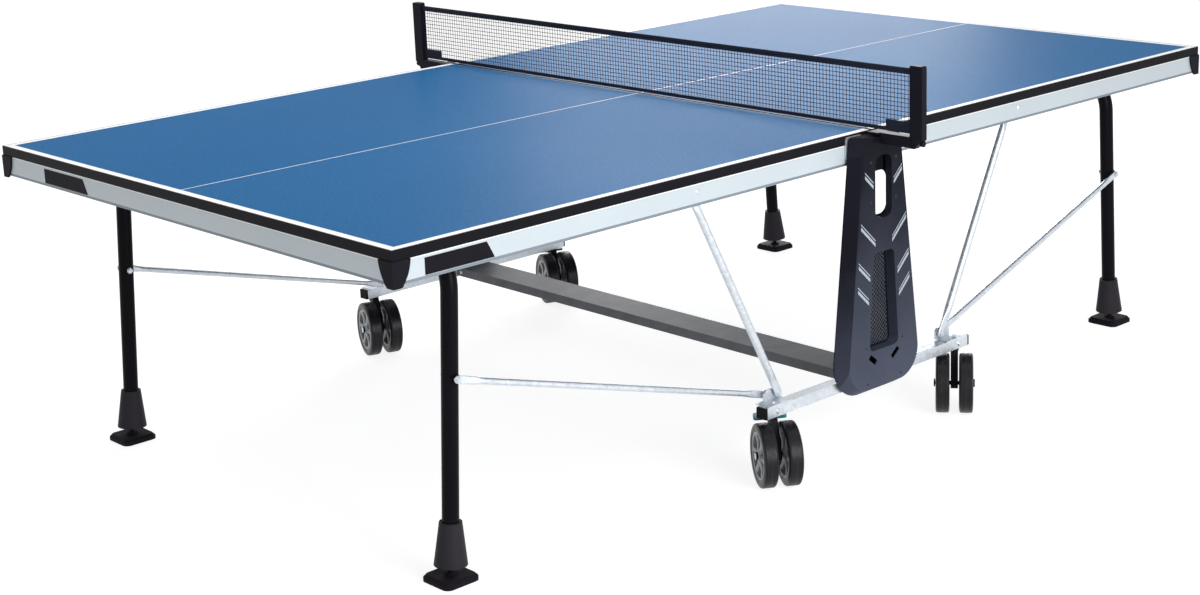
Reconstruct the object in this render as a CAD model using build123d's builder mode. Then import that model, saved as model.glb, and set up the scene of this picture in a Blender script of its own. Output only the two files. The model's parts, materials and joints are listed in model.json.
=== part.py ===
"""Folding ping pong table on a wheeled centre frame, in millimetres.

The table stands open on the floor: +X runs along its length, +Y across it and +Z up, with the
origin on the floor under the middle of the net.  Each half top hangs from two pins that slide
down the centre towers while its outer end swings up, led by side struts, and rods fold its legs.
"""
import os
from math import atan2, cos, degrees, hypot, radians, sin

from build123d import *

os.makedirs("parts", exist_ok=True)

# ---------------------------------------------------------------- driving dimensions
table_length = 2740
table_width = 1525
table_height = 760
board_thickness = 22
half_gap = 4                # from the net's plane to the inner edge of each half
band_thickness = 3

apron_height = 48
apron_thickness = 18
apron_inset = 1.5
sheet_wall = 2              # wall of every rectangular and round tube

rail_length = 724
rail_width = 30
rail_height = 26
rail_bottom = 156
rail_inset = 15.5           # from the table's side to the middle of a rail
beam_width = 96
beam_height = 24

pin_x = 64                  # hinge pins of the half tops
pin_depth = 20              # below the playing surface
pin_radius = 6
stow_gap = 5                # between a stowed half and the rails

strut_foot_x = 294.4
strut_top_depth = 40        # below the playing surface
strut_foot_rise = 15        # above the rail
strut_radius = 9
strut_inset = 30            # from the table's side to a strut

leg_inset = 239             # from the table's end to the axis that the legs fold about
leg_side_inset = 132.5      # from the table's side to the middle of a leg
leg_hinge_depth = 45
leg_radius = 18
leg_bend = 110
leg_splay_run = 46          # how much further out a foot stands than its hinge
stowed_leg_tilt = 6         # degrees from upright

rod_foot_x = 322.6
rod_rail_inset = 50.5       # from the table's side to a rod's foot
rod_leg_offset = 26.5       # from the middle of a leg out to a rod's head
rod_radius = 7
rod_foot_rise = 13

flat_thickness = 5          # flattened ends of struts and rods
bolt_radius = 4
running = 0.06              # radial play of every pin in its hole
step = 0.4                  # gap between faces that pass each other
seam = 0.2                  # gap between bars that meet at a corner

tower_gap = 4
guide_thickness = 4
tower_depth = 27.5
tower_base = 140
tower_drop = 5              # top of the towers below the playing surface
tower_wall = 3

net_height = 152.5
net_overhang = 152.5        # how far the net's posts stand outside the table's sides
post_width = 35

caster_x = 330
wheel_diameter = 148
wheel_width = 34
wheel_spacing = 57
caster_trail = 32
caster_yaw = {"near_left": -33, "near_right": -52, "far_left": -20, "far_right": -24}
braked_casters = ("near_left", "far_right")

# ---------------------------------------------------------------- worked-out places
half_width = table_width / 2
half_length = table_length / 2
board_bottom = table_height - board_thickness
apron_bottom = board_bottom - apron_height
apron_outer_y = half_width - apron_inset
apron_inner_y = apron_outer_y - apron_thickness
apron_end_x = half_length - apron_inset
apron_start_x = half_gap + apron_inset
rail_top = rail_bottom + rail_height
rail_end_x = rail_length / 2
rail_centre_y = half_width - rail_inset
rail_outer_y = rail_centre_y + rail_width / 2
rail_inner_y = rail_centre_y - rail_width / 2
guide_back_y = half_width + tower_gap
shell_back_y = guide_back_y + guide_thickness
tower_front_y = shell_back_y + tower_depth
tower_top = table_height - tower_drop
post_outer_y = half_width + net_overhang
post_inner_y = post_outer_y - post_width

pin_height = table_height - pin_depth
stowed_pin_height = rail_top + stow_gap + pin_x - half_gap
strut_y = half_width - strut_inset
strut_top_z = table_height - strut_top_depth
strut_foot_z = rail_top + strut_foot_rise
leg_x = half_length - leg_inset
leg_y = half_width - leg_side_inset
foot_x = leg_x + leg_splay_run
leg_hinge_z = table_height - leg_hinge_depth
leg_splay = atan2(leg_splay_run, leg_hinge_z)
rod_rail_y = half_width - rod_rail_inset
rod_leg_y = leg_y + rod_leg_offset
rod_foot_z = rail_top + rod_foot_rise


def stowed(x, z):
    """A point of the right half, (x, z) with the table open, once that half is stowed."""
    return pin_x - (z - pin_height), stowed_pin_height + (x - pin_x)


def equal_reach(foot, here, way_here, there, way_there):
    """How far along two unit ways, from here and from there, the points lie level in reach of a foot."""
    from_here = (foot[0] - here[0], foot[1] - here[1])
    from_there = (foot[0] - there[0], foot[1] - there[1])
    slope = sum(a * b for a, b in zip(from_here, way_here))
    slope -= sum(a * b for a, b in zip(from_there, way_there))
    return (hypot(*from_here) ** 2 - hypot(*from_there) ** 2) / (2 * slope)


# The strut's head is as far from its foot in both places, and so is the rod's head.
strut_foot = (strut_foot_x, strut_foot_z)
strut_top_x = equal_reach(strut_foot, (0, strut_top_z), (1, 0), stowed(0, strut_top_z), (0, 1))
strut_head = (strut_top_x, strut_top_z)
rod_foot = (rod_foot_x, rod_foot_z)
leg_hinge = (leg_x, leg_hinge_z)
leg_way = (sin(leg_splay), -cos(leg_splay))
stowed_leg_way = (sin(radians(stowed_leg_tilt)), -cos(radians(stowed_leg_tilt)))
rod_drop = equal_reach(rod_foot, leg_hinge, leg_way, stowed(*leg_hinge), stowed_leg_way)
rod_head = (leg_x + rod_drop * leg_way[0], leg_hinge_z + rod_drop * leg_way[1])


def finish(block, label):
    block.part.label = label
    export_step(block.part, f"parts/{label}.step")


def bar(x_range, y_range, z_range, mode=Mode.ADD):
    """A box between two faces on each axis, given in either order."""
    middle = [(low + high) / 2 for low, high in (x_range, y_range, z_range)]
    with Locations(tuple(middle)):
        Box(*(abs(high - low) for low, high in (x_range, y_range, z_range)), mode=mode)


def pin(start, end, radius, mode=Mode.ADD):
    """A round pin or hole from start to end."""
    axis = Vector(*end) - Vector(*start)
    with Locations(Plane(origin=start, z_dir=axis)):
        Cylinder(radius, axis.length, align=(Align.CENTER, Align.CENTER, Align.MIN), mode=mode)


def along(start, end, distance):
    """The (x, z) point at a distance from start towards end."""
    reach = hypot(end[0] - start[0], end[1] - start[1])
    return tuple(a + (b - a) * distance / reach for a, b in zip(start, end))


# ================================================================ centre frame
with BuildPart() as near_rail:
    bar((-rail_end_x, rail_end_x), (-rail_outer_y, -rail_inner_y), (rail_bottom, rail_top))
    bar(
        (-rail_end_x, rail_end_x),
        (-rail_outer_y + sheet_wall, -rail_inner_y - sheet_wall),
        (rail_bottom + sheet_wall, rail_top - sheet_wall),
        mode=Mode.SUBTRACT,
    )
    bush_radius = 11
    stem_radius = 6
    stem_top = rail_top - sheet_wall - 1
    for side in (-1, 1):
        caster_place = (side * caster_x, -rail_centre_y)
        pin((*caster_place, rail_bottom + 1), (*caster_place, rail_top - 1), bush_radius)
        pin((*caster_place, rail_bottom - 1), (*caster_place, stem_top), stem_radius + running,
            mode=Mode.SUBTRACT)
finish(near_rail, "near_rail")

with BuildPart() as far_rail:
    mirror(near_rail.part, about=Plane.XZ)
finish(far_rail, "far_rail")

with BuildPart() as crossbeam:
    beam_bottom = rail_top - 1 - beam_height
    bar((-beam_width / 2, beam_width / 2), (-rail_inner_y, rail_inner_y),
        (beam_bottom, beam_bottom + beam_height))
    bar((-beam_width / 2 + sheet_wall, beam_width / 2 - sheet_wall), (-rail_inner_y, rail_inner_y),
        (beam_bottom + sheet_wall, beam_bottom + beam_height - sheet_wall), mode=Mode.SUBTRACT)
finish(crossbeam, "crossbeam")

with BuildPart() as rail_plugs:
    plug_face = 5
    plug_depth = 9
    stub_play = 0.2
    bar((rail_end_x, rail_end_x + plug_face), (-rail_outer_y, -rail_inner_y),
        (rail_bottom, rail_top))
    plug_edges = rail_plugs.edges().filter_by(Axis.X).group_by(Axis.X)[-1]
    fillet(plug_edges, 2)
    bar(
        (rail_end_x - plug_depth, rail_end_x),
        (-rail_outer_y + sheet_wall + stub_play, -rail_inner_y - sheet_wall - stub_play),
        (rail_bottom + sheet_wall + stub_play, rail_top - sheet_wall - stub_play),
    )
    mirror(about=Plane.YZ)
    mirror(about=Plane.XZ)
finish(rail_plugs, "rail_plugs")

# Folded steel tabs on the rails: a strut's foot stands outside the upright, a rod's foot inside.
tab_thickness = 4
tab_gap = 4                 # from a tab to the strut's flattened foot
tab_outer_y = strut_y - flat_thickness / 2 - tab_gap
tab_inner_y = tab_outer_y - tab_thickness
tab_foot_thickness = 3
tab_margin = 12             # round the lowest and highest eye
plate_end = rail_end_x - 3
with BuildPart() as link_brackets:
    tab_start = min(strut_foot[0], rod_foot[0]) - tab_margin
    tab_end = max(strut_foot[0], rod_foot[0]) + tab_margin
    tab_top = max(strut_foot_z, rod_foot_z) + tab_margin
    with BuildSketch(Plane.XZ.offset(tab_inner_y)):
        with Locations(((tab_start + tab_end) / 2, (rail_top + tab_top) / 2)):
            Rectangle(tab_end - tab_start, tab_top - rail_top)
        fillet(vertices().group_by(Axis.Y)[-1], 10)
    extrude(amount=tab_outer_y - tab_inner_y)
    bar((tab_start, max(tab_end, plate_end)), (-tab_inner_y, -rail_outer_y),
        (rail_top, rail_top + tab_foot_thickness))
    pin((rod_foot[0], -tab_inner_y, rod_foot[1]), (rod_foot[0], -tab_outer_y, rod_foot[1]),
        bolt_radius, mode=Mode.SUBTRACT)
    mirror(about=Plane.YZ)
    mirror(about=Plane.XZ)
finish(link_brackets, "link_brackets")

with BuildPart() as frame_bolts:
    head_radius = 6.5
    head_height = 4
    rod_flat_inner = rod_rail_y - flat_thickness / 2
    x, z = rod_foot
    head_face = rod_flat_inner - step
    pin((x, -tab_outer_y, z), (x, -head_face, z), bolt_radius)
    pin((x, -head_face, z), (x, -head_face + head_height, z), head_radius)
    cap_height = 3.5
    cap_inset = 34
    cap_places = [
        ((rail_end_x - cap_inset, -rail_centre_y, rail_top + tab_foot_thickness), (0, 0, 1)),
        ((rail_end_x - cap_inset, -rail_outer_y, rail_bottom + rail_height / 2), (0, -1, 0)),
    ]
    for origin, outward in cap_places:
        with Locations(Plane(origin=origin, z_dir=outward)):
            Cone(head_radius, head_radius * 0.55, cap_height,
                 align=(Align.CENTER, Align.CENTER, Align.MIN))
    beam_screw_radius = 4.5
    beam_screw_height = 2.5
    beam_screw_inset = 22
    with Locations(Plane(origin=(beam_width / 2, -rail_inner_y + beam_screw_inset,
                                 beam_bottom + beam_height / 2), z_dir=(1, 0, 0))):
        Cylinder(beam_screw_radius, beam_screw_height, align=(Align.CENTER, Align.CENTER, Align.MIN))
    mirror(about=Plane.YZ)
    mirror(about=Plane.XZ)
finish(frame_bolts, "frame_bolts")


# ================================================================ towers
def tower_outline(base_half, top_half, base, top, corner_cut, round_radius):
    """A tower seen from the side: widest below, rounded at the foot, cut at the shoulders."""
    Polygon(
        (-base_half, base), (base_half, base), (top_half, top - corner_cut),
        (top_half - corner_cut, top), (-top_half + corner_cut, top),
        (-top_half, top - corner_cut), align=None,
    )
    fillet(vertices().group_by(Axis.Y)[0], round_radius)


back_base_half = 156
back_top_half = 88
front_base_half = 132
front_top_half = 64
front_rise = 16
front_drop = 6
guide_corner_cut = 10
shell_corner_cut = 4
shoulder_cut = 30
foot_round = 84
pin_slot_play = 0.5
slot_margin = 12
guide_inset = 2             # of the guide plate inside the shell's outline
guide_bracket_half = 44     # half length of the block that fixes a guide to its rail

window_width = 58
window_length = 147
window_drop = 54            # below the playing surface
window_high = table_height - window_drop
window_low = window_high - window_length
window_round = 20
window_collar = 18          # depth of the window's rim, behind which the tower is open
opening_width = 92          # the larger opening in the guide behind the window
opening_height = 104
opening_round = 24
pocket_rise = 106           # above the foot of the tower
pocket_gap = 80             # below the window
pocket_low = tower_base + pocket_rise
pocket_high = window_low - pocket_gap
pocket_low_half = 52
pocket_high_half = 36
pocket_round = 14
pocket_wall = 2.5


def pocket_outline(grow):
    """The ball pocket's mouth, wider below, grown by a wall on every side."""
    low, high = pocket_low - grow, pocket_high + grow
    Polygon(
        (-pocket_low_half - grow, low), (pocket_low_half + grow, low),
        (pocket_high_half + grow, high), (-pocket_high_half - grow, high), align=None,
    )
    fillet(vertices(), pocket_round + grow)


def window_outline(grow):
    """The tall window above the pocket, grown by a wall on every side."""
    with Locations((0, (window_low + window_high) / 2)):
        RectangleRounded(window_width + 2 * grow, window_length + 2 * grow, window_round + grow)


with BuildPart() as tower_guides:
    with BuildSketch(Plane.XZ.offset(guide_back_y)):
        tower_outline(back_base_half - guide_inset, back_top_half - guide_inset,
                      tower_base + guide_inset, tower_top - guide_inset, guide_corner_cut,
                      foot_round - guide_inset)
        slot_low = stowed_pin_height - pin_radius - slot_margin
        slot_high = pin_height + pin_radius + pin_slot_play
        with Locations((pin_x, (slot_low + slot_high) / 2), (-pin_x, (slot_low + slot_high) / 2)):
            SlotOverall(slot_high - slot_low, 2 * (pin_radius + pin_slot_play), rotation=90,
                        mode=Mode.SUBTRACT)
        with Locations((0, window_low + opening_height / 2)):
            RectangleRounded(opening_width, opening_height, opening_round, mode=Mode.SUBTRACT)
    extrude(amount=guide_thickness)
    with BuildSketch(Plane.XZ.offset(guide_back_y)):
        pocket_outline(0)
    extrude(amount=guide_thickness, mode=Mode.SUBTRACT)
    bar((-guide_bracket_half, guide_bracket_half), (-rail_outer_y, -guide_back_y),
        (rail_bottom + sheet_wall, rail_top - sheet_wall))
    mirror(about=Plane.XZ)
finish(tower_guides, "tower_guides")

screw_radius = 3.2
screw_seat = 2
screw_play = 0.1
screw_head_rise = 0.6
window_screw_x = 44
window_screw_drop = 11      # below the window's top
window_screw_rise = 41      # above its foot
pocket_screw_x = 62
pocket_screw_rise = 104     # above the pocket's foot
corner_screw_x = 66
corner_screw_rise = 12
foot_screw_x = 60
foot_screw_rise = 30        # above the tower's foot
tower_screw_places = [
    (side * x, z) for side in (-1, 1)
    for x, z in (
        (window_screw_x, window_high - window_screw_drop),
        (window_screw_x, window_low + window_screw_rise),
        (pocket_screw_x, pocket_low + pocket_screw_rise),
        (corner_screw_x, pocket_low + corner_screw_rise),
        (foot_screw_x, tower_base + foot_screw_rise),
    )
]
vent_length = 30
vent_width = 13
vent_x = 40
vent_drop = 21              # below the ball pocket
vent_tilt = 38
with BuildPart() as near_tower_shell:
    with BuildSketch(Plane.XZ.offset(shell_back_y)):
        tower_outline(back_base_half, back_top_half, tower_base, tower_top, shell_corner_cut, foot_round)
    with BuildSketch(Plane.XZ.offset(tower_front_y)):
        tower_outline(front_base_half, front_top_half, tower_base + front_rise,
                      tower_top - front_drop, shoulder_cut, foot_round - front_rise)
    loft()
    wall = tower_wall
    with BuildSketch(Plane.XZ.offset(shell_back_y)):
        tower_outline(back_base_half - wall, back_top_half - wall, tower_base + wall,
                      tower_top - wall, shell_corner_cut, foot_round - wall)
    with BuildSketch(Plane.XZ.offset(tower_front_y - wall)):
        tower_outline(front_base_half - wall, front_top_half - wall,
                      tower_base + front_rise + wall, tower_top - front_drop - wall, shoulder_cut,
                      foot_round - front_rise - wall)
    loft(mode=Mode.SUBTRACT)
    for outline, depth in ((pocket_outline, tower_depth), (window_outline, window_collar)):
        for grow, mode in ((pocket_wall, Mode.ADD), (0, Mode.SUBTRACT)):
            with BuildSketch(Plane.XZ.offset(tower_front_y)):
                outline(grow)
            extrude(amount=-depth, mode=mode)
    with BuildSketch(Plane.XZ.offset(tower_front_y)):
        for side in (-1, 1):
            with Locations(Location((side * vent_x, pocket_low - vent_drop, 0), (0, 0, side * vent_tilt))):
                Rectangle(vent_length, vent_width)
    extrude(amount=-tower_wall, mode=Mode.SUBTRACT)
    with BuildSketch(Plane.XZ.offset(tower_front_y)):
        with Locations(tower_screw_places):
            Circle(screw_radius)
    extrude(amount=-screw_seat, mode=Mode.SUBTRACT)
finish(near_tower_shell, "near_tower_shell")

with BuildPart() as far_tower_shell:
    mirror(near_tower_shell.part, about=Plane.XZ)
finish(far_tower_shell, "far_tower_shell")

with BuildPart() as tower_screws:
    with BuildSketch(Plane.XZ.offset(tower_front_y - screw_seat)):
        with Locations(tower_screw_places):
            Circle(screw_radius - screw_play)
    extrude(amount=screw_seat + screw_head_rise)
    mirror(about=Plane.XZ)
finish(tower_screws, "tower_screws")

mesh_thickness = 2
with BuildPart() as ball_meshes:
    with BuildSketch(Plane.XZ.offset(guide_back_y)):
        pocket_outline(0)
    extrude(amount=mesh_thickness)
    mirror(about=Plane.XZ)
finish(ball_meshes, "ball_meshes")

# ================================================================ net
net_top = table_height + net_height
arm_half = 12
arm_drop = 26               # underside of the arm below the playing surface
arm_clearance = 1
post_half = 8.5
post_drop = 28
post_rise = 8               # above the net
post_chamfer = 22
seat_half = 20
knob_rise = 13              # above the foot of the post
knob_radius = 7
knob_length = 8
knob_shaft_radius = 3
knob_shaft_length = 12
with BuildPart() as near_net_post:
    arm_top = table_height - arm_clearance
    bar((-seat_half, seat_half), (-guide_back_y - 1, -tower_front_y - step), (tower_top, arm_top))
    bar((-arm_half, arm_half), (-tower_front_y - step, -post_inner_y - 4),
        (table_height - arm_drop, arm_top))
    post_low = table_height - post_drop
    post_high = net_top + post_rise
    with BuildSketch(Plane.YZ):
        with Locations((-(post_inner_y + post_outer_y) / 2, (post_low + post_high) / 2)):
            Rectangle(post_width, post_high - post_low)
        fillet(vertices().group_by(Axis.Y)[-1], 5)
        chamfer(vertices().group_by(Axis.Y)[0].sort_by(Axis.X)[0:1], post_chamfer)
    extrude(amount=post_half, both=True)
    knob_height = post_low + knob_rise
    knob_back_y = post_outer_y - knob_length
    pin((0, -post_outer_y - 1, knob_height), (0, -knob_back_y + step, knob_height),
        knob_radius + step, mode=Mode.SUBTRACT)
    pin((0, -knob_back_y - 1, knob_height), (0, -knob_back_y + knob_shaft_length + 1, knob_height),
        knob_shaft_radius + running, mode=Mode.SUBTRACT)
finish(near_net_post, "near_net_post")

with BuildPart() as far_net_post:
    mirror(near_net_post.part, about=Plane.XZ)
finish(far_net_post, "far_net_post")

with BuildPart() as near_net_knob:
    pin((0, -knob_back_y, knob_height), (0, -knob_back_y + knob_shaft_length, knob_height),
        knob_shaft_radius)
    with BuildSketch(Plane(origin=(0, -knob_back_y, knob_height), z_dir=(0, -1, 0))):
        Circle(knob_radius)
        with PolarLocations(knob_radius + 0.5, 6):
            Circle(1.6, mode=Mode.SUBTRACT)
    extrude(amount=knob_length)
finish(near_net_knob, "near_net_knob")

with BuildPart() as far_net_knob:
    mirror(near_net_knob.part, about=Plane.XZ)
finish(far_net_knob, "far_net_knob")

tape_height = 14
net_low = table_height + 4
low_tape_height = 8
with BuildPart() as net_mesh:
    bar((-0.7, 0.7), (-post_inner_y + 0.3, post_inner_y - 0.3),
        (net_low + low_tape_height, net_top - tape_height))
finish(net_mesh, "net_mesh")

with BuildPart() as net_top_tape:
    bar((-2, 2), (-post_inner_y + 0.3, post_inner_y - 0.3), (net_top - tape_height, net_top))
finish(net_top_tape, "net_top_tape")

with BuildPart() as net_lower_tape:
    tab_length = 74
    tab_height = 26
    bar((-1.5, 1.5), (-post_inner_y + 0.3, post_inner_y - 0.3), (net_low, net_low + low_tape_height))
    for side in (-1, 1):
        for face in (-1, 1):
            bar((face * 0.7, face * 1.5), (side * (post_inner_y - 0.3), side * (post_inner_y - tab_length)),
                (net_low + low_tape_height, net_low + tab_height))
finish(net_lower_tape, "net_lower_tape")

# ================================================================ right half top
with BuildPart() as right_board:
    bar((half_gap + band_thickness, half_length - band_thickness),
        (-half_width + band_thickness, half_width - band_thickness),
        (board_bottom, table_height))
finish(right_board, "right_board")

with BuildPart() as right_edge_band:
    for start, end in ((half_gap, half_gap + band_thickness),
                       (half_length - band_thickness, half_length)):
        bar((start, end), (-half_width, half_width), (board_bottom, table_height))
    for side in (-1, 1):
        bar((half_gap + band_thickness + seam, half_length - band_thickness - seam),
            (side * half_width, side * (half_width - band_thickness)),
            (board_bottom, table_height))
finish(right_edge_band, "right_edge_band")

strut_eye = bolt_radius + running
with BuildPart() as right_apron:
    for start in (apron_start_x, apron_end_x - apron_thickness):
        end = start + apron_thickness
        bar((start, end), (-apron_outer_y, apron_outer_y), (apron_bottom, board_bottom))
        bar((start + sheet_wall, end - sheet_wall), (-apron_outer_y, apron_outer_y),
            (apron_bottom + sheet_wall, board_bottom - sheet_wall), mode=Mode.SUBTRACT)
    side_start = apron_start_x + apron_thickness + seam
    side_end = apron_end_x - apron_thickness - seam
    for side in (-1, 1):
        bar((side_start, side_end), (side * apron_inner_y, side * apron_outer_y),
            (apron_bottom, board_bottom))
        bar((side_start, side_end),
            (side * (apron_inner_y + sheet_wall), side * (apron_outer_y - sheet_wall)),
            (apron_bottom + sheet_wall, board_bottom - sheet_wall), mode=Mode.SUBTRACT)
        pin((strut_top_x, side * (apron_inner_y - 1), strut_top_z),
            (strut_top_x, side * (apron_outer_y + 1), strut_top_z), strut_eye, mode=Mode.SUBTRACT)
finish(right_apron, "right_apron")

guard_stand_out = 2.5       # outside the edge band
guard_reach = 40
guard_tip = 17
guard_drop = 5              # below the apron
guard_bulge = 5             # of the curved edge outside its chord
guard_round = 6
with BuildPart() as right_corner_guards:
    guard_low = apron_bottom - guard_drop
    guard_thickness = apron_inset + guard_stand_out
    guard_corner = (apron_end_x, -apron_outer_y, 0)
    for guard_plane, outward in (
        (Plane(origin=guard_corner, x_dir=(1, 0, 0), z_dir=(0, -1, 0)), 1),
        (Plane(origin=guard_corner, x_dir=(0, -1, 0), z_dir=(-1, 0, 0)), -1),
    ):
        with BuildSketch(guard_plane):
            with BuildLine():
                Polyline((-guard_tip, guard_low), (guard_thickness, guard_low),
                         (guard_thickness, board_bottom), (-guard_reach, board_bottom))
                bulge_x = -(guard_reach + guard_tip) / 2 - guard_bulge
                ThreePointArc((-guard_reach, board_bottom), (bulge_x, (board_bottom + guard_low) / 2),
                              (-guard_tip, guard_low))
            make_face()
            fillet(vertices().group_by(Axis.Y)[0].sort_by(Axis.X)[0:1], guard_round)
        extrude(amount=outward * guard_thickness)
    mirror(about=Plane.XZ)
finish(right_corner_guards, "right_corner_guards")

# Two long braces under the board and two saddles that the leg frame's cross tube turns in.
brace_inset = 330           # from the middle of a leg in to a brace
brace_y = leg_y - brace_inset
brace_width = 25
brace_height = 20
brace_end_gap = 46          # from the end of a brace to the legs' folding axis
saddle_inset = 200          # from the middle of a leg in to a saddle
saddle_y = leg_y - saddle_inset
saddle_half = 15
with BuildPart() as right_underframe:
    brace_start = apron_start_x + apron_thickness
    brace_end_x = leg_x - brace_end_gap
    bar((brace_start, brace_end_x), (-brace_y - brace_width / 2, -brace_y + brace_width / 2),
        (board_bottom - brace_height, board_bottom))
    bar((brace_start, brace_end_x),
        (-brace_y - brace_width / 2 + sheet_wall, -brace_y + brace_width / 2 - sheet_wall),
        (board_bottom - brace_height + sheet_wall, board_bottom - sheet_wall), mode=Mode.SUBTRACT)
    bar((leg_x - 27, leg_x + 27), (-saddle_y - saddle_half, -saddle_y + saddle_half),
        (leg_hinge_z - leg_radius - 5, board_bottom))
    saddle_edges = right_underframe.edges().filter_by(Axis.Y).group_by(Axis.Z)[0]
    fillet(saddle_edges, 12)
    pin((leg_x, -saddle_y - saddle_half - 1, leg_hinge_z), (leg_x, -saddle_y + saddle_half + 1, leg_hinge_z),
        leg_radius + running, mode=Mode.SUBTRACT)
    mirror(about=Plane.XZ)
finish(right_underframe, "right_underframe")

pivot_plate_thickness = 2.5
pivot_plate_width = 56
pivot_plate_height = 52
pivot_plate_drop = 10       # of the plate's middle below the pin
slider_depth = 5
slider_back_y = shell_back_y + step
with BuildPart() as right_pivot_pins:
    with BuildSketch(Plane.XZ.offset(half_width)):
        with Locations((pin_x, pin_height - pivot_plate_drop)):
            RectangleRounded(pivot_plate_width, pivot_plate_height, 8)
    extrude(amount=pivot_plate_thickness)
    pin((pin_x, -half_width, pin_height), (pin_x, -slider_back_y - slider_depth, pin_height), pin_radius)
    mirror(about=Plane.XZ)
finish(right_pivot_pins, "right_pivot_pins")

# Shouldered bolts that carry the struts' heads, driven through the apron.
strut_flat_outer = strut_y + flat_thickness / 2
strut_flat_inner = strut_y - flat_thickness / 2
with BuildPart() as right_strut_bolts:
    x, z = strut_head
    bolt_tip = strut_flat_inner - step - head_height
    pin((x, -apron_outer_y, z), (x, -bolt_tip, z), bolt_radius)
    pin((x, -strut_flat_inner + step, z), (x, -bolt_tip, z), head_radius)
    pin((x, -apron_inner_y, z), (x, -strut_flat_outer - step, z), head_radius)
    with Locations(Plane(origin=(x, -apron_outer_y, z), z_dir=(0, -1, 0))):
        Cone(head_radius, head_radius * 0.55, 2.8, align=(Align.CENTER, Align.CENTER, Align.MIN))
    mirror(about=Plane.XZ)
finish(right_strut_bolts, "right_strut_bolts")

# ================================================================ right links
flat_half = 10
flat_reach = 46
tube_start = 32


def link_flat(eye, other, y, half):
    """A link's flattened end: a rounded plate round its eye, pointing at the other eye."""
    middle = along(eye, other, flat_reach / 2)
    toward = (other[0] - eye[0], 0, other[1] - eye[1])
    with Locations(Plane(origin=(middle[0], y, middle[1]), x_dir=toward, z_dir=(0, -1, 0))):
        Box(flat_reach, 2 * half, flat_thickness)
    eye_pin(eye, y, flat_thickness, half)


def eye_pin(eye, y, width, radius, mode=Mode.ADD):
    """A pin or hole across a link's eye, centred on y."""
    pin((eye[0], y - width / 2, eye[1]), (eye[0], y + width / 2, eye[1]), radius, mode=mode)


def link_tube(start, end, start_y, end_y, radius):
    """The round length of a link, between its flattened ends."""
    near_start = along(start, end, tube_start)
    near_end = along(end, start, tube_start)
    pin((near_start[0], start_y, near_start[1]), (near_end[0], end_y, near_end[1]), radius)


with BuildPart() as right_struts:
    link_tube(strut_foot, strut_head, -strut_y, -strut_y, strut_radius)
    link_flat(strut_foot, strut_head, -strut_y, flat_half)
    link_flat(strut_head, strut_foot, -strut_y, flat_half)
    eye_pin(strut_head, -strut_y, 2 * flat_thickness, strut_eye, mode=Mode.SUBTRACT)
    x, z = strut_foot
    pin((x, -strut_flat_inner, z), (x, -tab_outer_y - step, z), flat_half - 2)
    pin((x, -strut_flat_outer, z), (x, -strut_flat_outer - head_height, z), head_radius)
    mirror(about=Plane.XZ)
finish(right_struts, "right_struts")

boss_face_y = leg_y + leg_radius + 1
rod_flat_half = 8.5
with BuildPart() as right_rods:
    link_tube(rod_foot, rod_head, -rod_rail_y, -rod_leg_y, rod_radius)
    link_flat(rod_foot, rod_head, -rod_rail_y, rod_flat_half)
    link_flat(rod_head, rod_foot, -rod_leg_y, rod_flat_half)
    eye_pin(rod_foot, -rod_rail_y, 2 * flat_thickness, strut_eye, mode=Mode.SUBTRACT)
    x, z = rod_head
    pin((x, -rod_leg_y + flat_thickness / 2, z), (x, -boss_face_y - step, z), rod_flat_half - 2)
    pin((x, -rod_leg_y - flat_thickness / 2, z), (x, -rod_leg_y - flat_thickness / 2 - head_height, z),
        head_radius)
    mirror(about=Plane.XZ)
finish(right_rods, "right_rods")

with BuildPart() as right_sliders:
    slider_half = 7.5
    slider_rise = 7.5
    slider_drop = 18
    bar((pin_x - slider_half, pin_x + slider_half), (-slider_back_y, -slider_back_y - slider_depth),
        (pin_height - slider_drop, pin_height + slider_rise))
    chamfer(right_sliders.edges().filter_by(Axis.Y), 1.5)
    pin((pin_x, -slider_back_y + 1, pin_height), (pin_x, -slider_back_y - slider_depth - 1, pin_height),
        pin_radius + running, mode=Mode.SUBTRACT)
    mirror(about=Plane.XZ)
finish(right_sliders, "right_sliders")

# ================================================================ right leg frame
leg_axis_up = (-sin(leg_splay), 0, cos(leg_splay))
leg_length = leg_hinge_z / cos(leg_splay)
tube_rise = 46              # lower end of the tube above the floor, inside the foot sleeve
with BuildPart() as right_leg_frame:
    frame_plane = Plane(origin=(foot_x, 0, 0), x_dir=(0, 1, 0), z_dir=(cos(leg_splay), 0, sin(leg_splay)))
    with BuildLine(frame_plane) as frame_path:
        FilletPolyline((-leg_y, tube_rise), (-leg_y, leg_length), (leg_y, leg_length),
                       (leg_y, tube_rise), radius=leg_bend)
    with BuildSketch(Plane(origin=frame_path.line @ 0, z_dir=leg_axis_up)):
        Circle(leg_radius)
        Circle(leg_radius - sheet_wall, mode=Mode.SUBTRACT)
    sweep(path=frame_path.line)
    x, z = rod_head
    for side in (-1, 1):
        pin((x, side * (leg_y + leg_radius - 4), z), (x, side * boss_face_y, z), 11)
finish(right_leg_frame, "right_leg_frame")

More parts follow.
